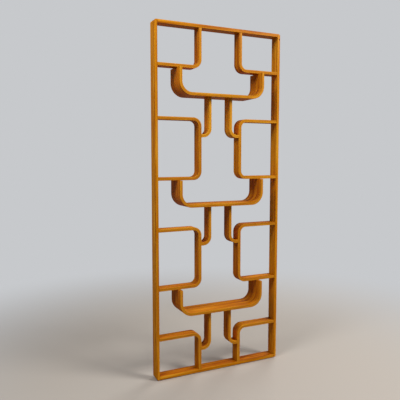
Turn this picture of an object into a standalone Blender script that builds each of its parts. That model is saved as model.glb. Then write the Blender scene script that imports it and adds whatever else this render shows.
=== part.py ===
"""A tall, slim room divider: a framed screen of bent laminated strips that holds three trays.

Metres, +Z up. Seen from the front, +X is to the right and the viewer stands towards -Y.
The origin is on the floor, under the middle of the frame.
"""

import math

import bmesh
import bpy
from mathutils import Euler, Vector

# Frame
height = 2.400
width = 0.960
frame_depth = 0.078
post_thickness = 0.021
rail_thickness = 0.022
corner_radius = 0.014

# Bent strips inside the frame
strip_thickness = 0.021
strip_depth = 0.076
strip_bend_radius = 0.060
bay_width = 0.290
bracket_height = 0.268
loop_height = 0.422
hanger_spacing = 0.139
hanger_lap = 0.132

# Trays
tray_thickness = 0.021
tray_depth = 0.160
tray_width = 0.647
tray_height = 0.184
tray_bend_radius = 0.092

# Joints
glue_gap = 0.0003
edge_easing = 0.0015
dowel_diameter = 0.008
dowel_length = 0.025
dowel_chamfer = 0.001
peg_clearance = 0.0003
seat_share = 0.6
tenon_width_share = 0.64
tenon_thickness_share = 0.45
bend_room_share = 0.95

# Glides
glide_diameter = 0.022
glide_thickness = 0.005
glide_nail_diameter = 0.003
glide_nail_length = 0.012
glide_inset = 0.015
glide_spacing = 0.048
glide_chamfer = 0.0015

# How finely round shapes are cut
bend_steps = 8
corner_steps = 5
peg_sides = 12
glide_sides = 20
nail_sides = 8
smooth_below = math.radians(30)

# The rows of trays and loops, and the turns that put a mirrored piece in place: the same
# strip, turned round or over
tray_rows = ("upper", "middle", "lower")
loop_rows = ("upper", "lower")
sides = {"left": -1, "right": 1}
turned = {
    "right": Euler((0, 0, 0)),
    "left": Euler((0, 0, math.pi)),
    "right_over": Euler((math.pi, 0, 0)),
    "left_over": Euler((0, math.pi, 0)),
}

# Levels and places that follow from the sizes above. The same gap is left over each loop and
# each lower bracket, and a hanger reaches down through it and beside that strip.
frame_foot = glide_thickness
post_height = height - frame_foot
post_face = width / 2 - post_thickness
clear_width = post_face + post_face
rail_underside = height - rail_thickness
rail_topside = frame_foot + rail_thickness
bay_face = bay_width / 2
bracket_level = rail_underside - bracket_height
lower_bracket_level = rail_topside + bracket_height
loops_height = len(loop_rows) * loop_height
row_gap = (bracket_level - lower_bracket_level - loops_height) / len(tray_rows)
tray_pitch = loop_height + row_gap
side_reach = post_face - bay_face
hanger_face = hanger_spacing / 2
hanger_reach = bay_face - hanger_face
hanger_drop = row_gap - tray_height + hanger_lap
peg_seat = seat_share * min(post_thickness, rail_thickness, strip_thickness, tray_thickness)
tenon_length = seat_share * post_thickness

# Colours as seen on a screen, red, green and blue of 255
post_colour = (196, 124, 48)
rail_colour = (202, 130, 54)
strip_colour = (192, 116, 40)
tray_colour = (206, 132, 46)
peg_colour = (214, 182, 132)
glide_colour = (58, 44, 34)
lacquer_roughness = 0.32
bare_wood_roughness = 0.7
glide_roughness = 0.45


def clear_scene():
    for thing in list(bpy.data.objects):
        bpy.data.objects.remove(thing, do_unlink=True)


def linear(colour):
    """A screen colour as the linear red, green, blue and alpha that a material takes."""
    screen_top, toe, toe_slope, offset, power = 255, 0.04045, 12.92, 0.055, 2.4
    shares = [value / screen_top for value in colour]
    channels = [
        share / toe_slope if share <= toe else ((share + offset) / (1 + offset)) ** power
        for share in shares
    ]
    return (*channels, 1)


def finish(name, colour, roughness):
    """A material of the piece's own: clear lacquer on wood, bare wood or moulded plastic."""
    material = bpy.data.materials.new(name + "_finish")
    material.use_nodes = True
    shader = material.node_tree.nodes["Principled BSDF"]
    shader.inputs["Base Color"].default_value = linear(colour)
    shader.inputs["Roughness"].default_value = roughness
    shader.inputs["Metallic"].default_value = 0
    return material


def mesh_from(bm, name):
    """The closed mesh in bm, facing out, with its bends shaded smooth."""
    bmesh.ops.recalc_face_normals(bm, faces=bm.faces)
    mesh = bpy.data.meshes.new(name)
    bm.to_mesh(mesh)
    bm.free()
    mesh.shade_smooth()
    mesh.set_sharp_from_angle(angle=smooth_below)
    return mesh


def place(name, mesh, location, turn, material):
    """A piece made from mesh, set at location under the divider's empty."""
    piece = bpy.data.objects.new(name, mesh)
    bpy.context.collection.objects.link(piece)
    piece.parent = bpy.data.objects["divider"]
    piece.location = location
    piece.rotation_euler = turn
    if not mesh.materials:
        mesh.materials.append(None)
    piece.material_slots[0].link = "OBJECT"
    piece.material_slots[0].material = material
    return piece


def guide(name, mesh, location, turn):
    """A shape that only cuts or adds to others, so it isn't a piece itself."""
    shape = bpy.data.objects.new(name, mesh)
    bpy.context.collection.objects.link(shape)
    shape.parent = bpy.data.objects["divider"]
    shape.location = location
    shape.rotation_euler = turn
    shape.hide_render = True
    shape.display_type = "WIRE"
    return shape


def combine(piece, other, operation):
    modifier = piece.modifiers.new(f"{operation} {other.name}", "BOOLEAN")
    modifier.operation = operation
    modifier.solver = "EXACT"
    modifier.object = other


def eased_rectangle(thickness, depth):
    """Corners of a strip's section, across it and through it, with its four edges eased."""
    corners = []
    for across, through in ((1, 1), (-1, 1), (-1, -1), (1, -1)):
        pair = [
            (across * thickness / 2, through * (depth / 2 - edge_easing)),
            (across * (thickness / 2 - edge_easing), through * depth / 2),
        ]
        corners += pair if across == through else reversed(pair)
    return corners


def strip_mesh(name, route, thickness, depth, bend_radius):
    """A strip bent square at each inner corner of its route.

    The route gives the strip's middle line as (x, z) corners, and bend_radius is that of
    the outer face. A bend is tighter where its strip would be too short for it.
    """
    corners = [Vector((x, 0, z)) for x, z in route]
    legs = [end - start for start, end in zip(corners, corners[1:])]
    headings = [leg.normalized() for leg in legs]
    bends = [(index > 0) + (index + 1 < len(legs)) for index in range(len(legs))]
    rooms = [bend_room_share * leg.length / count for leg, count in zip(legs, bends) if count]
    middle_radius = min([bend_radius - thickness / 2, *rooms])
    across = headings[0].cross(Vector((0, 1, 0)))
    bm = bmesh.new()
    section = [
        bm.verts.new(corners[0] + across * out + Vector((0, through, 0)))
        for out, through in eased_rectangle(thickness, depth)
    ]
    tip = bm.faces.new(section)
    for index, heading in enumerate(headings):
        if index:
            before = headings[index - 1]
            centre = corners[index] + (heading - before) * middle_radius
            tip = bent(bm, tip, centre, before.cross(heading))
        tip = pushed(bm, tip, heading * (legs[index].length - middle_radius * bends[index]))
    return mesh_from(bm, name)


def pushed(bm, tip, way):
    """The new end face after the strip's end is pushed straight on."""
    grown = bmesh.ops.extrude_face_region(bm, geom=[tip, *tip.edges])["geom"]
    tip = next(part for part in grown if isinstance(part, bmesh.types.BMFace))
    bmesh.ops.translate(bm, verts=tip.verts, vec=way)
    return tip


def bent(bm, tip, centre, axis):
    """The new end face after the strip's end is bent a quarter turn about centre."""
    end = [tip, *tip.edges]
    grown = bmesh.ops.spin(
        bm, geom=end, cent=centre, axis=axis, angle=math.pi / 2, steps=bend_steps
    )["geom_last"]
    return next(part for part in grown if isinstance(part, bmesh.types.BMFace))


def bar_mesh(name, length, breadth, thickness):
    """A plain square-edged bar along X, about its own middle."""
    bm = bmesh.new()
    bmesh.ops.create_cube(bm, size=1)
    bmesh.ops.scale(bm, verts=bm.verts, vec=(length, breadth, thickness))
    return mesh_from(bm, name)


def peg_mesh(name, radius, low, high, chamfer, peg_faces):
    """A round peg along Z from low to high, with chamfered ends where chamfer isn't zero."""
    bm = bmesh.new()
    bmesh.ops.create_cone(
        bm, cap_ends=True, segments=peg_faces, radius1=radius, radius2=radius, depth=high - low
    )
    bmesh.ops.translate(bm, verts=bm.verts, vec=(0, 0, (low + high) / 2))
    if chamfer:
        rims = [edge for edge in bm.edges if edge.verts[0].co.z == edge.verts[1].co.z]
        bmesh.ops.bevel(bm, geom=rims, offset=chamfer, segments=1, affect="EDGES")
    return mesh_from(bm, name)


def post_mesh():
    """A post standing on the origin, its inner face at x = 0 and its outer corners rounded."""
    quarter = [math.pi / 2 * step / corner_steps for step in range(corner_steps + 1)]
    radius = min(corner_radius, bend_room_share * post_thickness)
    centre = post_thickness - radius
    low = [(centre + radius * math.sin(a), radius * (1 - math.cos(a))) for a in quarter]
    high = [(x, post_height - z) for x, z in reversed(low)]
    bm = bmesh.new()
    outline = [(0, 0), *low, *high, (0, post_height)]
    face = bm.faces.new([bm.verts.new((x, -frame_depth / 2, z)) for x, z in outline])
    pushed(bm, face, Vector((0, frame_depth, 0)))
    arrises = [edge for edge in bm.edges if edge.verts[0].co.y == edge.verts[1].co.y]
    bmesh.ops.bevel(bm, geom=arrises, offset=edge_easing, segments=1, affect="EDGES")
    return mesh_from(bm, "post")


def make_frame():
    """Two posts and two rails, whose tenons sit in blind mortises in the posts."""
    mesh = post_mesh()
    posts = [
        place(
            "post_" + side,
            mesh,
            (sign * post_face, 0, frame_foot),
            turned[side],
            finish("post_" + side, post_colour, lacquer_roughness),
        )
        for side, sign in sides.items()
    ]
    end = post_face - glue_gap
    rail = strip_mesh("rail", [(-end, 0), (end, 0)], rail_thickness, frame_depth, 0)
    tenon_width = tenon_width_share * frame_depth
    tenon_thickness = tenon_thickness_share * rail_thickness
    tenons = bar_mesh("tenons", clear_width + 2 * tenon_length, tenon_width, tenon_thickness)
    mortises = bar_mesh(
        "mortises",
        clear_width + 2 * (tenon_length + peg_clearance),
        tenon_width + 2 * peg_clearance,
        tenon_thickness + 2 * peg_clearance,
    )
    levels = {"top": rail_underside + rail_thickness / 2, "bottom": frame_foot + rail_thickness / 2}
    for end_name, level in levels.items():
        name = "rail_" + end_name
        middle = (0, 0, level)
        upright = turned["right"]
        material = finish(name, rail_colour, lacquer_roughness)
        piece = place(name, rail, middle, upright, material)
        combine(piece, guide("tenons_" + end_name, tenons, middle, upright), "UNION")
        cutter = guide("mortises_" + end_name, mortises, middle, upright)
        for post in posts:
            combine(post, cutter, "DIFFERENCE")


def make_brackets():
    """Four equal L strips, two down from the top rail and two turned over on the bottom rail."""
    half = strip_thickness / 2
    route = [
        (half, bracket_height - glue_gap),
        (half, half),
        (side_reach - glue_gap, half),
    ]
    mesh = strip_mesh("bracket", route, strip_thickness, strip_depth, strip_bend_radius)
    for side, sign in sides.items():
        for row, level, turn in (
            ("upper", bracket_level, turned[side]),
            ("lower", lower_bracket_level, turned[side + "_over"]),
        ):
            name = f"bracket_{row}_{side}"
            material = finish(name, strip_colour, lacquer_roughness)
            place(name, mesh, (sign * bay_face, 0, level), turn, material)


def make_loops():
    """Four equal C strips, each from its post in, down, and back to the post."""
    half = strip_thickness / 2
    end = side_reach - glue_gap
    edge = loop_height / 2 - half
    route = [(end, edge), (half, edge), (half, -edge), (end, -edge)]
    mesh = strip_mesh("loop", route, strip_thickness, strip_depth, strip_bend_radius)
    for side, sign in sides.items():
        for row in loop_rows:
            name = f"loop_{row}_{side}"
            material = finish(name, strip_colour, lacquer_roughness)
            place(name, mesh, (sign * bay_face, 0, loop_middle(row)), turned[side], material)


def make_trays():
    """Three equal U strips, deeper than the frame, each hung from the strips above it."""
    half = tray_thickness / 2
    end = tray_width / 2 - half
    route = [
        (-end, tray_height - glue_gap),
        (-end, half),
        (end, half),
        (end, tray_height - glue_gap),
    ]
    mesh = strip_mesh("tray", route, tray_thickness, tray_depth, tray_bend_radius)
    for row in tray_rows:
        name = "tray_" + row
        material = finish(name, tray_colour, lacquer_roughness)
        place(name, mesh, (0, 0, tray_level(row)), turned["right"], material)


def make_hangers():
    """Six equal J strips, two under each tray, their feet turned out to the strip beside."""
    half = strip_thickness / 2
    route = [
        (half, -glue_gap),
        (half, half - hanger_drop),
        (hanger_reach - glue_gap, half - hanger_drop),
    ]
    mesh = strip_mesh("hanger", route, strip_thickness, strip_depth, strip_bend_radius)
    for side, sign in sides.items():
        for row in tray_rows:
            name = f"hanger_{row}_{side}"
            material = finish(name, strip_colour, lacquer_roughness)
            place(name, mesh, (sign * hanger_face, 0, tray_level(row)), turned[side], material)


def tray_level(row):
    """The height of a tray's underside."""
    return bracket_level - tray_rows.index(row) * tray_pitch - tray_height


def loop_middle(row):
    """The height of a loop's middle: its underside is level with the arms of the tray below."""
    return bracket_level - (loop_rows.index(row) + 1) * tray_pitch + loop_height / 2


def post_joints(side, sign):
    """Where loops and brackets meet a post: name, point on its face, way out of it, both pieces."""
    half = strip_thickness / 2
    arm = loop_height / 2 - half
    levels = {
        f"bracket_upper_{side}": {"post": bracket_level + half},
        f"bracket_lower_{side}": {"post": lower_bracket_level - half},
    }
    for row in loop_rows:
        middle = loop_middle(row)
        levels[f"loop_{row}_{side}"] = {"top": middle + arm, "bottom": middle - arm}
    for piece, ends in levels.items():
        for end, level in ends.items():
            point = (sign * post_face, 0, level)
            yield f"{piece}_{end}", point, (-sign, 0, 0), "post_" + side, piece


def rail_joints(side, sign):
    """Where the brackets meet the rails."""
    across = sign * (bay_face + strip_thickness / 2)
    upper, lower = f"bracket_upper_{side}", f"bracket_lower_{side}"
    yield upper + "_rail", (across, 0, rail_underside), (0, 0, -1), "rail_top", upper
    yield lower + "_rail", (across, 0, rail_topside), (0, 0, 1), "rail_bottom", lower


def tray_joints(side, sign):
    """Where the trays' arms meet the strips above, and where the hangers meet trays and strips."""
    arm = sign * (tray_width - tray_thickness) / 2
    stem = sign * (hanger_face + strip_thickness / 2)
    above = [f"bracket_upper_{side}"] + [f"loop_{row}_{side}" for row in loop_rows]
    beside = above[1:] + [f"bracket_lower_{side}"]
    for row, carrier, neighbour in zip(tray_rows, above, beside):
        tray, hanger = "tray_" + row, f"hanger_{row}_{side}"
        level = tray_level(row)
        foot = level - hanger_drop + strip_thickness / 2
        yield f"{tray}_{side}", (arm, 0, level + tray_height), (0, 0, -1), carrier, tray
        yield hanger + "_top", (stem, 0, level), (0, 0, -1), tray, hanger
        yield hanger + "_foot", (sign * bay_face, 0, foot), (-sign, 0, 0), neighbour, hanger


def make_dowels():
    """One dowel in each butt joint, in a blind hole that both pieces share."""
    radius, end = dowel_diameter / 2, dowel_length - peg_seat
    dowel = peg_mesh("dowel", radius, -peg_seat, end, dowel_chamfer, peg_sides)
    hole_radius = radius + peg_clearance
    low, high = -peg_seat - peg_clearance, end + peg_clearance
    hole = peg_mesh("dowel_hole", hole_radius, low, high, 0, peg_sides)
    for side, sign in sides.items():
        joints = [*post_joints(side, sign), *rail_joints(side, sign), *tray_joints(side, sign)]
        for name, point, way, face_piece, end_piece in joints:
            turn = Vector((0, 0, 1)).rotation_difference(Vector(way)).to_euler()
            material = finish("dowel_" + name, peg_colour, bare_wood_roughness)
            place("dowel_" + name, dowel, point, turn, material)
            cutter = guide("hole_" + name, hole, point, turn)
            for piece in (face_piece, end_piece):
                combine(bpy.data.objects[piece], cutter, "DIFFERENCE")


def glide_mesh():
    """A round glide under the origin, with its nail rising from it and its rim eased."""
    head = peg_mesh(
        "glide_head", glide_diameter / 2, -glide_thickness, -glue_gap, glide_chamfer, glide_sides
    )
    nail_foot = -glide_thickness / 2
    nail = peg_mesh("glide_nail", glide_nail_diameter / 2, nail_foot, glide_nail_length, 0, nail_sides)
    return head, nail


def make_glides():
    """Four nail-on glides under the bottom rail, two near each post, that carry the divider."""
    head, nail = glide_mesh()
    hole_radius = glide_nail_diameter / 2 + peg_clearance
    hole = peg_mesh(
        "nail_hole", hole_radius, -glue_gap, glide_nail_length + peg_clearance, 0, nail_sides
    )
    across = post_face - glide_inset
    rail = bpy.data.objects["rail_bottom"]
    upright = turned["right"]
    for side, sign in sides.items():
        for place_name, through in (("front", -glide_spacing / 2), ("back", glide_spacing / 2)):
            name = f"glide_{side}_{place_name}"
            point = (sign * across, through, frame_foot)
            material = finish(name, glide_colour, glide_roughness)
            piece = place(name, head, point, upright, material)
            combine(piece, guide("nail_" + name, nail, point, upright), "UNION")
            combine(rail, guide("nail_hole_" + name, hole, point, upright), "DIFFERENCE")


def main():
    clear_scene()
    divider = bpy.data.objects.new("divider", None)
    bpy.context.collection.objects.link(divider)
    make_frame()
    make_brackets()
    make_loops()
    make_trays()
    make_hangers()
    make_dowels()
    make_glides()


main()
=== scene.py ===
"""The looks of the room divider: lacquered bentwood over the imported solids, in a plain studio."""

import math

import bmesh
import bpy
from mathutils import Matrix, Vector


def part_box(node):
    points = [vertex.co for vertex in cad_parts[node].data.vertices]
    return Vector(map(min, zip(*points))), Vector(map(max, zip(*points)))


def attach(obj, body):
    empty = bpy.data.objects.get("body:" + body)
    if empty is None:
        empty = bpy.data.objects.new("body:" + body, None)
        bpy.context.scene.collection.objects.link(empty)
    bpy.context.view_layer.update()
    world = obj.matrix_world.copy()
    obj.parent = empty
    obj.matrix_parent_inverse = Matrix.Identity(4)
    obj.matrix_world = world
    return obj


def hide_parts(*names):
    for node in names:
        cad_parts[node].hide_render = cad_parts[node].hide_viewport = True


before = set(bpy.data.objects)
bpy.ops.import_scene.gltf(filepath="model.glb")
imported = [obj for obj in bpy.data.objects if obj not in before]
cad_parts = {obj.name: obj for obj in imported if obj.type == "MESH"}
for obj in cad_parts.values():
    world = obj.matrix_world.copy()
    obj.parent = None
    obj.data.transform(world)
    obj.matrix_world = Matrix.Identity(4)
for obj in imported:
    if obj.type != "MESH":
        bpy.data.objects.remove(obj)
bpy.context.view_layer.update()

# Sizes in metres that the boxes of the solids don't give
STRIP_THICKNESS = 0.021
STRIP_RADIUS = 0.060
TRAY_RADIUS = 0.092
CORNER_RADIUS = 0.014
ARRIS = 0.0016
END_ARRIS = 0.0007
RAIL_END_ARRIS = 0.0013
GLUE_GAP = 0.0003

# How finely bends, corners and arrises are cut, and the angle from which an edge stays sharp
BEND_STEPS = 24
CORNER_STEPS = 12
ARRIS_STEPS = 4
SHARP_ANGLE = math.radians(50)

# Plies of a bent strip, and how deep the colour of its two faces reaches into its edges
PLIES = 9
FACE_DEPTH = 0.0004

# The knot on the right post: its place along, through and across the grain, and its radius
KNOT_PLACE = (2.3615, -0.039, 0.003)
KNOT_RADIUS = 0.005

# Growth rings in metres: their spacing, and how ragged they are
RING_SPACING = 0.0034
RING_RAGGEDNESS = 0.0007

# The heart of the log that a piece is sawn from, in metres: how far it lies below the piece, how
# much its place differs sideways from piece to piece, and how far it wanders sideways and up,
# and then how often it wanders, per metre
HEART_DEPTH = 0.03
HEART_SPREAD = 0.03
HEART_SWAY = 0.026
HEART_LIFT = 0.02
HEART_PACE = 0.9

# How often each part of the grain changes along a piece, through it and across it, per metre
STREAKS = (4.0, 330.0, 330.0)
BANDS = (2.2, 85.0, 85.0)
BROAD_BANDS = (2.4, 26.0, 26.0)
PORES = (170.0, 2300.0, 2300.0)
RAGGED_RINGS = (7.0, 150.0, 150.0)

# Specks in the small pieces, per metre
BEECH_SPECKS = 900.0
PLASTIC_SPECKS = 2500.0

# Pieces are numbered from 0 to 1 in steps that keep neighbours apart, and each number and ply
# gets a seed of its own
NUMBER_STEP = 0.618
PIECE_SEED = 97.0
PLY_SEED = 7.3

# Tones run from 0, chestnut, to 1, straw. These are the wood's own tone, what it changes by in
# bent strips, and how much painted shade darkens the bottom rail's faces that look up
WOOD_TONE = 0.565
STRIP_TONE = -0.1
LOW_TOP_SHADE = 0.34

# How much lighter or darker than the rest these pieces are: partly their own tone, partly painted
# light and shade, and the two upper hangers are paler by a painted sheen
TONES = {
    "bracket_upper_right": -0.12,
    "hanger_middle_right": -0.1,
    "hanger_upper_left": 0.27,
    "hanger_upper_right": 0.27,
    "loop_lower_left": -0.06,
    "loop_lower_right": -0.06,
    "loop_upper_left": -0.18,
    "loop_upper_right": 0.06,
    "post_right": 0.06,
    "rail_top": -0.17,
    "tray_lower": -0.1,
}

# Colours as seen on a screen, red, green and blue of 255
CHESTNUT = (126, 51, 1)
AMBER = (180, 97, 2)
HONEY = (206, 130, 12)
STRAW = (234, 166, 44)
CORE = (232, 169, 56)
END_GRAIN = (142, 78, 24)
GLUE_LINE = (112, 58, 18)
KNOT_COLOUR = (30, 12, 4)
BEECH_TONES = ((196, 156, 104), (222, 188, 138))
PLASTIC_TONES = ((50, 38, 30), (66, 52, 42))

# Backdrop and floor: each as it is seen, and then as the light that it throws on the divider
BACKDROP = (199, 201, 204)
AMBIENT = (100, 102, 104)
FLOOR = (184, 176, 167)
FLOOR_GLOW = (150, 143, 136)

# The floor in metres: its radius, and where it starts and ends to fade into the backdrop
FLOOR_RADIUS = 6.0
FADE_START = 1.0
FADE_END = 3.4

# Lamps: name, place, width in metres, power in watts and colour, and the point they look at
LAMPS = (
    ("key", (2.6, -3.0, 4.2), 2.2, 203, (1.0, 0.98, 0.95)),
    ("fill", (-2.7, -1.2, 4.0), 1.8, 86, (1.0, 0.99, 0.98)),
    ("back", (3.6, 2.6, 3.0), 2.6, 94, (1.0, 0.99, 0.98)),
)
LAMP_AIM = Vector((0, 0, 1.2))

# The camera, as found from the lines of the photograph
CAMERA_PLACE = (-1.5671, -3.0505, 1.5192)
CAMERA_YAW = math.radians(25.079)
CAMERA_PITCH = math.radians(-5.023)
CAMERA_LENS = 43.833

# The corners of each strip's box that its route runs through: towards the middle of the
# divider or out from it, and low or high
ROUTES = {
    "bracket_upper": (("in", "high"), ("in", "low"), ("out", "low")),
    "bracket_lower": (("in", "low"), ("in", "high"), ("out", "high")),
    "loop": (("out", "high"), ("in", "high"), ("in", "low"), ("out", "low")),
    "hanger": (("in", "high"), ("in", "low"), ("out", "low")),
    "tray": (("in", "high"), ("in", "low"), ("out", "low"), ("out", "high")),
}


def linear(colour):
    """A screen colour as linear red, green, blue and alpha."""
    shares = [value / 255 for value in colour]
    channels = [s / 12.92 if s <= 0.04045 else ((s + 0.055) / 1.055) ** 2.4 for s in shares]
    return (*channels, 1)


# Shapes


def rounded_section(thickness, depth):
    """(across, through, wear and painted highlight) round a strip's section with its four arrises
    rounded.
    """
    points = []
    for quarter, (across, through) in enumerate(((1, 1), (-1, 1), (-1, -1), (1, -1))):
        for step in range(ARRIS_STEPS + 1):
            angle = math.pi / 2 * (quarter + step / ARRIS_STEPS)
            points.append(
                (
                    across * (thickness / 2 - ARRIS) + ARRIS * math.cos(angle),
                    through * (depth / 2 - ARRIS) + ARRIS * math.sin(angle),
                    math.sin(math.pi * step / ARRIS_STEPS),
                )
            )
    return points


def middle_line(node, side, corners):
    """The (x, z) route of a strip's middle through the corners of its solid's box."""
    low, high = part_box(node)
    xs = {"in": low.x, "out": high.x} if side > 0 else {"in": high.x, "out": low.x}
    zs = {"low": low.z, "high": high.z}
    half = STRIP_THICKNESS / 2
    inward_x = {"in": side * half, "out": -side * half}
    inward_z = {"low": half, "high": -half}
    route = []
    for index, (x, z) in enumerate(corners):
        beside = corners[max(index - 1, 0) : index] + corners[index + 1 : index + 2]
        upright = any(other[0] == x for other in beside)
        level = any(other[1] == z for other in beside)
        route.append((xs[x] + upright * inward_x[x], zs[z] + level * inward_z[z]))
    return route


def stations(route, thickness, bend_radius):
    """(place, way across, length so far) along a strip that bends square at each inner corner."""
    through = Vector((0, 1, 0))
    corners = [Vector((x, 0, z)) for x, z in route]
    headings = [(end - start).normalized() for start, end in zip(corners, corners[1:])]
    radius = bend_radius - thickness / 2
    place, length = corners[0], 0.0
    found = [(place, headings[0].cross(through), length)]
    for heading, following, corner in zip(headings, headings[1:], corners[1:]):
        start = corner - heading * radius
        length += (start - place).length
        centre = start + following * radius
        for step in range(BEND_STEPS + 1):
            angle = math.pi / 2 * step / BEND_STEPS
            turned = Matrix.Rotation(angle, 3, heading.cross(following))
            place = centre + turned @ (start - centre)
            way = (turned @ heading).cross(through)
            found.append((place, way, length + radius * angle))
        length += radius * math.pi / 2
    end = corners[-1]
    found.append((end, headings[-1].cross(through), length + (end - place).length))
    return found


def with_eased_ends(found, easing):
    """The stations, each with how far its section is drawn in: only at the two very ends."""
    first, last = found[0], found[-1]
    start = (found[1][0] - first[0]).normalized()
    end = (last[0] - found[-2][0]).normalized()
    inner_first = (first[0] + start * easing, first[1], first[2] + easing)
    inner_last = (last[0] - end * easing, last[1], last[2] - easing)
    full = [(*station, 0.0) for station in (inner_first, *found[1:-1], inner_last)]
    return [(*first, easing), *full, (*last, easing)]


def strip_mesh(route, thickness, depth, bend_radius, easing):
    """A bent strip in bm, with (along, through, across) and (wear and painted highlight, end) for
    each vertex.
    """
    section = rounded_section(thickness, depth)
    bm, grain, looks, rings = bmesh.new(), [], [], []
    rows = with_eased_ends(stations(route, thickness, bend_radius), easing)
    for place, way, length, inset in rows:
        ring = []
        for across, through, wear_and_highlight in section:
            across *= 1 - 2 * inset / thickness
            through *= 1 - 2 * inset / depth
            ring.append(bm.verts.new(place + way * across + Vector((0, through, 0))))
            grain.append((length, through, across))
            looks.append((wear_and_highlight, float(inset > 0)))
        rings.append(ring)
    for before, after in zip(rings, rings[1:]):
        for index, vertex in enumerate(before):
            previous = index - 1
            bm.faces.new((before[previous], vertex, after[index], after[previous]))
    bm.faces.new(rings[0])
    bm.faces.new(reversed(rings[-1]))
    return bm, grain, looks


def bent_shape(node, kind, side):
    """A bracket, loop, hanger or tray, bent along the route of its kind."""
    low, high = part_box(node)
    radius = TRAY_RADIUS if kind == "tray" else STRIP_RADIUS
    route = middle_line(node, side, ROUTES[kind])
    return strip_mesh(route, STRIP_THICKNESS, high.y - low.y, radius, END_ARRIS)


def rail_shape(node):
    """A straight rail from post to post, without its hidden tenons."""
    low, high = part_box(node)
    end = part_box("post_right")[0].x - GLUE_GAP
    level = (low.z + high.z) / 2
    route = [(-end, level), (end, level)]
    return strip_mesh(route, high.z - low.z, high.y - low.y, 0, RAIL_END_ARRIS)


def post_shape(node, side):
    """A post with rounded outer corners, with (along, through, across) and (wear and painted
    highlight, end).
    """
    low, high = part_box(node)
    inner, outer = (low.x, high.x) if side > 0 else (high.x, low.x)
    centre = outer - side * CORNER_RADIUS
    turns = [math.pi / 2 * step / CORNER_STEPS for step in range(CORNER_STEPS + 1)]
    foot = [
        (centre + side * CORNER_RADIUS * math.sin(a), low.z + CORNER_RADIUS * (1 - math.cos(a)))
        for a in turns
    ]
    top = [(x, low.z + high.z - z) for x, z in reversed(foot)]
    bm = bmesh.new()
    outline = [(inner, low.z), *foot, *top, (inner, high.z)]
    face = bm.faces.new([bm.verts.new((x, low.y, z)) for x, z in outline])
    grown = bmesh.ops.extrude_face_region(bm, geom=[face, *face.edges])["geom"]
    moved = [part for part in grown if isinstance(part, bmesh.types.BMVert)]
    bmesh.ops.translate(bm, verts=moved, vec=(0, high.y - low.y, 0))
    arrises = [edge for edge in bm.edges if edge.verts[0].co.y == edge.verts[1].co.y]
    bmesh.ops.bevel(bm, geom=arrises, offset=ARRIS, segments=ARRIS_STEPS, affect="EDGES")
    bm.verts.index_update()
    middle = (inner + outer) / 2
    grain = [(v.co.z, v.co.y, v.co.x - middle) for v in bm.verts]
    looks = [(arris_wear_and_highlight(v.co.y, low.y, high.y), 0.0) for v in bm.verts]
    return bm, grain, looks


def arris_wear_and_highlight(through, front, back):
    """0 on the flats and 1 in the middle of a rounded arris, which is lightened for wear and as a
    painted highlight.
    """
    share = min(through - front, back - through) / ARRIS
    return math.sin(math.pi * min(max(share, 0), 1))


def dress(node, shape, number, material):
    """The shape in place of its solid, with its grain, looks and tone kept as attributes."""
    bm, grain, looks = shape
    bmesh.ops.recalc_face_normals(bm, faces=bm.faces)
    mesh = bpy.data.meshes.new(node + "_dressed")
    bm.to_mesh(mesh)
    bm.free()
    rows = {"grain": grain, "looks": [(number, wear_and_highlight, end) for wear_and_highlight, end in looks]}
    for name, values in rows.items():
        attribute = mesh.attributes.new(name, "FLOAT_VECTOR", "POINT")
        attribute.data.foreach_set("vector", [value for row in values for value in row])
    # Each piece's tone shift, partly its own tone and partly painted light and shade
    tones = mesh.attributes.new("tone", "FLOAT", "POINT")
    tones.data.foreach_set("value", [TONES.get(node, 0.0)] * len(grain))
    mesh.shade_smooth()
    mesh.set_sharp_from_angle(angle=SHARP_ANGLE)
    mesh.materials.append(material)
    piece = bpy.data.objects.new(node + "_dressed", mesh)
    bpy.context.collection.objects.link(piece)
    even = piece.modifiers.new("even_shading", "WEIGHTED_NORMAL")
    even.keep_sharp = True
    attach(piece, "root")
    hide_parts(node)


# Materials


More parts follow.
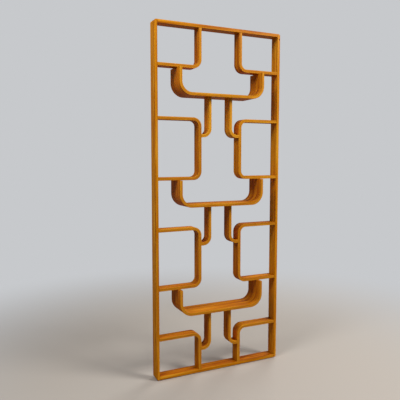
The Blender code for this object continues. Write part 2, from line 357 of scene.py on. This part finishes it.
class Pattern:
    """A material's nodes, with short ways to add to them."""

    def __init__(self, name):
        self.material = bpy.data.materials.new(name)
        self.material.use_nodes = True
        self.tree = self.material.node_tree
        self.shader = self.tree.nodes["Principled BSDF"]

    def put(self, value, socket):
        """Links another node's output to a socket, or gives the socket a plain value."""
        if isinstance(value, bpy.types.NodeSocket):
            self.tree.links.new(value, socket)
        else:
            socket.default_value = value

    def maths(self, operation, *values):
        node = self.tree.nodes.new("ShaderNodeMath")
        node.operation = operation
        for value, socket in zip(values, node.inputs):
            self.put(value, socket)
        return node.outputs[0]

    def total(self, *terms):
        """The sum of (value, factor) pairs and bare values."""
        result = 0.0
        for term in terms:
            value, factor = term if isinstance(term, tuple) else (term, 1.0)
            result = self.maths("MULTIPLY_ADD", value, factor, result)
        return result

    def attribute(self, name):
        node = self.tree.nodes.new("ShaderNodeAttribute")
        node.attribute_name = name
        return node.outputs

    def split(self, vector):
        node = self.tree.nodes.new("ShaderNodeSeparateXYZ")
        self.put(vector, node.inputs[0])
        return node.outputs

    def vector(self, *values):
        node = self.tree.nodes.new("ShaderNodeCombineXYZ")
        for value, socket in zip(values, node.inputs):
            self.put(value, socket)
        return node.outputs[0]

    def stretched(self, vector, factors, shift=(0.0, 0.0, 0.0)):
        node = self.tree.nodes.new("ShaderNodeVectorMath")
        node.operation = "MULTIPLY_ADD"
        for value, socket in zip((vector, factors, shift), node.inputs):
            self.put(value, socket)
        return node.outputs[0]

    def distance(self, place, other=(0.0, 0.0, 0.0)):
        node = self.tree.nodes.new("ShaderNodeVectorMath")
        node.operation = "DISTANCE"
        for value, socket in zip((place, other), node.inputs):
            self.put(value, socket)
        return node.outputs["Value"]

    def noise(self, vector, detail=2.0, roughness=0.5):
        """Noise about 0, mostly within a half either way."""
        node = self.tree.nodes.new("ShaderNodeTexNoise")
        node.inputs["Scale"].default_value = 1.0
        node.inputs["Detail"].default_value = detail
        node.inputs["Roughness"].default_value = roughness
        self.put(vector, node.inputs["Vector"])
        return self.maths("MULTIPLY", self.maths("SUBTRACT", node.outputs[0], 0.5), 2.0)

    def chance(self, value):
        """A number from 0 to 1 that stays the same for the same value."""
        node = self.tree.nodes.new("ShaderNodeTexWhiteNoise")
        node.noise_dimensions = "1D"
        self.put(value, node.inputs["W"])
        return node.outputs["Value"]

    def rise(self, value, low, high):
        """0 below low and 1 above high, smooth between them."""
        node = self.tree.nodes.new("ShaderNodeMapRange")
        node.interpolation_type = "SMOOTHSTEP"
        for part, socket in zip((value, low, high), node.inputs):
            self.put(part, socket)
        return node.outputs[0]

    def mixed(self, share, first, second):
        node = self.tree.nodes.new("ShaderNodeMix")
        node.data_type = "RGBA"
        sockets = [socket for socket in node.inputs if socket.enabled]
        for value, socket in zip((share, first, second), sockets):
            self.put(value, socket)
        return next(socket for socket in node.outputs if socket.enabled)

    def ramp(self, share, colours):
        """Colours spread evenly over a share from 0 to 1."""
        node = self.tree.nodes.new("ShaderNodeValToRGB")
        stops = node.color_ramp.elements
        while len(stops) < len(colours):
            stops.new(0.5)
        for index, (stop, colour) in enumerate(zip(stops, colours)):
            stop.position = index / (len(colours) - 1)
            stop.color = linear(colour)
        self.put(share, node.inputs[0])
        return node.outputs[0]

    def bump(self, height, distance, strength):
        node = self.tree.nodes.new("ShaderNodeBump")
        node.inputs["Strength"].default_value = strength
        node.inputs["Distance"].default_value = distance
        self.put(height, node.inputs["Height"])
        self.put(node.outputs[0], self.shader.inputs["Normal"])

    def finish(self, **values):
        """Sets the shader's sockets, each named by its words joined with underscores."""
        for name, value in values.items():
            self.put(value, self.shader.inputs[name.replace("_", " ")])


def lacquered_wood(name, plies=0, knot=None, top_shade=0.0):
    """Honey-coloured wood under satin lacquer, its rings and pores running along the piece."""
    pattern = Pattern(name)
    grain = pattern.attribute("grain")["Vector"]
    number, wear_and_highlight, end = pattern.split(pattern.attribute("looks")["Vector"])
    seed, line, core = pattern.maths("MULTIPLY", number, PIECE_SEED), 0.0, 0.0
    if plies:
        across = pattern.split(grain)["Z"]
        inside = pattern.maths("ABSOLUTE", across)
        face = STRIP_THICKNESS / 2
        core = pattern.rise(inside, face - FACE_DEPTH, face - ARRIS)
        height = pattern.total((across, plies / STRIP_THICKNESS), plies / 2)
        seed = pattern.total(seed, (pattern.maths("FLOOR", height), PLY_SEED))
        line = glue_lines(pattern, height, inside, STRIP_THICKNESS / plies)
    own = pattern.chance(seed)
    rings = growth_rings(pattern, grain, seed, own)
    streaks = pattern.noise(pattern.stretched(grain, STREAKS), 4.0, 0.6)
    bands = pattern.noise(pattern.stretched(grain, BANDS), 2.0, 0.6)
    drift = pattern.stretched(grain, BROAD_BANDS, pattern.vector(seed, 0.0, 0.0))
    broad = pattern.noise(drift, 4.0, 0.6)
    pores = pattern.rise(pattern.noise(pattern.stretched(grain, PORES), 1.0), 0.18, 0.42)
    tone = pattern.total(WOOD_TONE, (rings, -0.35), (streaks, 0.46), (bands, 0.68), (broad, 0.42))
    tone = pattern.total(tone, (number, 0.1), (own, 0.14), (pores, -0.12), (core, 0.12))
    # The piece's tone shift, partly painted light and shade
    tone = pattern.total(tone, pattern.attribute("tone")["Fac"], STRIP_TONE if plies else 0.0)
    # Painted shade: faces that look up are darkened, the more the further they face up
    if top_shade:
        facing = pattern.tree.nodes.new("ShaderNodeNewGeometry").outputs["Normal"]
        upward = pattern.rise(pattern.split(facing)["Z"], 0.5, 1.0)
        tone = pattern.total(tone, (upward, -top_shade))
    colour = pattern.ramp(tone, (CHESTNUT, AMBER, HONEY, STRAW))
    # Arrises are lightened towards straw: partly wear, partly a painted highlight
    tints = ((core, 0.2, CORE), (line, 0.6, GLUE_LINE), (wear_and_highlight, 0.35, STRAW), (end, 0.6, END_GRAIN))
    for place, strength, tint in tints:
        share = pattern.maths("MULTIPLY", place, strength)
        colour = pattern.mixed(share, colour, linear(tint))
    if knot:
        colour = pattern.mixed(knot_mask(pattern, grain, knot), colour, linear(KNOT_COLOUR))
    roughness = pattern.total(0.4, (rings, -0.05), (pores, 0.12), (end, 0.18), (broad, 0.05))
    pattern.finish(Base_Color=colour, Roughness=roughness, Specular_IOR_Level=0.0)
    pattern.finish(Coat_Weight=0.1, Coat_Roughness=0.26)
    relief = pattern.total((rings, -0.35), (pores, -0.4), (line, -1.2))
    pattern.bump(relief, distance=0.0002, strength=0.6)
    return pattern.material


def growth_rings(pattern, grain, seed, own):
    """0 in early wood and up to 1 in late wood, as a saw cuts them from a wandering log."""
    along, through, across = pattern.split(grain)
    slow = pattern.maths("MULTIPLY", along, HEART_PACE)
    sway = pattern.noise(pattern.vector(slow, seed, 0.0), 1.0)
    lift = pattern.noise(pattern.vector(slow, 0.0, seed), 1.0)
    beside = pattern.total(through, (sway, HEART_SWAY), (own, HEART_SPREAD), -HEART_SPREAD / 2)
    below = pattern.total(across, (lift, HEART_LIFT), HEART_DEPTH)
    ragged = pattern.noise(pattern.stretched(grain, RAGGED_RINGS), 2.0)
    from_heart = pattern.distance(pattern.vector(beside, below, 0.0))
    radius = pattern.total(from_heart, (ragged, RING_RAGGEDNESS))
    share = pattern.maths("FRACT", pattern.maths("DIVIDE", radius, RING_SPACING))
    late = pattern.rise(share, 0.3, 0.9)
    return pattern.maths("MULTIPLY", late, pattern.rise(share, 1.0, 0.92))


def glue_lines(pattern, height, inside, ply):
    """1 on the fine dark lines between plies, and 0 on the two faces of the strip."""
    from_middle = pattern.maths("ABSOLUTE", pattern.total(pattern.maths("FRACT", height), -0.5))
    face = STRIP_THICKNESS / 2
    cover = pattern.rise(inside, face - 0.1 * ply, face - 0.3 * ply)
    return pattern.maths("MULTIPLY", pattern.rise(from_middle, 0.39, 0.46), cover)


def knot_mask(pattern, grain, place):
    """1 in a small knot at that place in the grain, 0 away from it."""
    return pattern.rise(pattern.distance(grain, place), KNOT_RADIUS * 1.2, KNOT_RADIUS * 0.7)


def speckled(name, tones, specks, roughness, depth):
    """Bare wood or moulded plastic: two tones in a pattern over the object's own place."""
    pattern = Pattern(name)
    place = pattern.tree.nodes.new("ShaderNodeTexCoord").outputs["Object"]
    marks = pattern.noise(pattern.stretched(place, (specks, specks, specks)), 3.0)
    share = pattern.total(marks, 0.5)
    uneven = pattern.total(roughness, (marks, 0.08))
    pattern.finish(Base_Color=pattern.ramp(share, tones), Roughness=uneven)
    pattern.bump(marks, depth, 0.5)
    return pattern.material


# Pieces


def dress_all():
    """Dresses the wooden pieces that show, and refinishes the solids of dowels and glides."""
    plain_wood = lacquered_wood("lacquered_frame")
    special_woods = {
        "post_right": lacquered_wood("lacquered_frame_knot", knot=KNOT_PLACE),
        # The bottom rail gets painted shade on its upward faces
        "rail_bottom": lacquered_wood("lacquered_frame_shaded_top", top_shade=LOW_TOP_SHADE),
    }
    strip_wood = lacquered_wood("lacquered_strip", PLIES)
    tray_wood = lacquered_wood("lacquered_tray", PLIES)
    beech = speckled("bare_beech", BEECH_TONES, BEECH_SPECKS, 0.7, 0.0002)
    plastic = speckled("dark_plastic", PLASTIC_TONES, PLASTIC_SPECKS, 0.45, 0.0001)
    for index, node in enumerate(sorted(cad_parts)):
        number = index * NUMBER_STEP % 1
        side = -1 if node.endswith("left") else 1
        kind = next((kind for kind in ROUTES if node.startswith(kind)), None)
        if kind == "tray":
            dress(node, bent_shape(node, kind, side), number, tray_wood)
        elif kind:
            dress(node, bent_shape(node, kind, side), number, strip_wood)
        elif node.startswith(("post", "rail")):
            shape = post_shape(node, side) if node.startswith("post") else rail_shape(node)
            wood = special_woods.get(node, plain_wood)
            dress(node, shape, number, wood)
        else:
            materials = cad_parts[node].data.materials
            materials.clear()
            materials.append(beech if node.startswith("dowel") else plastic)


# Studio


def seen(tree):
    """1 for rays that show the backdrop, also in a reflection, and 0 for those that only light."""
    rays = tree.nodes.new("ShaderNodeLightPath").outputs
    result = rays["Is Camera Ray"]
    for name in ("Is Glossy Ray", "Is Transmission Ray"):
        either = tree.nodes.new("ShaderNodeMath")
        either.operation = "MAXIMUM"
        tree.links.new(result, either.inputs[0])
        tree.links.new(rays[name], either.inputs[1])
        result = either.outputs[0]
    return result


def make_floor():
    """A pale floor that fades into the backdrop some way from the divider."""
    bm = bmesh.new()
    bmesh.ops.create_circle(bm, cap_ends=True, radius=FLOOR_RADIUS, segments=96)
    mesh = bpy.data.meshes.new("floor")
    bm.to_mesh(mesh)
    bm.free()
    floor = bpy.data.objects.new("floor", mesh)
    bpy.context.collection.objects.link(floor)
    pattern = Pattern("floor")
    tree = pattern.tree
    place = tree.nodes.new("ShaderNodeNewGeometry").outputs["Position"]
    fade = pattern.rise(pattern.distance(place), FADE_START, FADE_END)
    shown = seen(tree)
    colour = pattern.mixed(shown, linear(FLOOR_GLOW), linear(FLOOR))
    pattern.finish(Base_Color=colour, Roughness=0.8)
    glow = tree.nodes.new("ShaderNodeEmission")
    pattern.put(pattern.mixed(shown, linear(AMBIENT), linear(BACKDROP)), glow.inputs["Color"])
    blend = tree.nodes.new("ShaderNodeMixShader")
    for part, socket in zip((fade, pattern.shader.outputs[0], glow.outputs[0]), blend.inputs):
        tree.links.new(part, socket)
    tree.links.new(blend.outputs[0], tree.nodes["Material Output"].inputs["Surface"])
    mesh.materials.append(pattern.material)


def add_lamp(name, place, width, power, colour):
    """A round lamp that looks at the divider's middle."""
    lamp = bpy.data.lights.new(name, "AREA")
    lamp.shape = "DISK"
    lamp.size, lamp.energy, lamp.color = width, power, colour
    holder = bpy.data.objects.new(name, lamp)
    bpy.context.collection.objects.link(holder)
    holder.location = place
    holder.rotation_euler = (LAMP_AIM - Vector(place)).to_track_quat("-Z", "Y").to_euler()


def make_world():
    """Pale where it is seen, also in a reflection, and dimmer as the light it gives."""
    world = bpy.data.worlds.new("studio")
    bpy.context.scene.world = world
    world.use_nodes = True
    tree = world.node_tree
    choice = tree.nodes.new("ShaderNodeMixShader")
    tree.links.new(seen(tree), choice.inputs[0])
    for socket, colour in zip(choice.inputs[1:], (AMBIENT, BACKDROP)):
        background = tree.nodes.new("ShaderNodeBackground")
        background.inputs["Color"].default_value = linear(colour)
        tree.links.new(background.outputs[0], socket)
    tree.links.new(choice.outputs[0], tree.nodes["World Output"].inputs["Surface"])


def make_studio():
    make_floor()
    for lamp in LAMPS:
        add_lamp(*lamp)
    make_world()


def make_camera():
    camera = bpy.data.cameras.new("camera")
    camera.lens = CAMERA_LENS
    holder = bpy.data.objects.new("camera", camera)
    bpy.context.collection.objects.link(holder)
    holder.location = CAMERA_PLACE
    holder.rotation_euler = (math.pi / 2 + CAMERA_PITCH, 0, -CAMERA_YAW)
    bpy.context.scene.camera = holder


make_camera()
dress_all()
make_studio()
bpy.context.scene.view_settings.view_transform = "Standard"
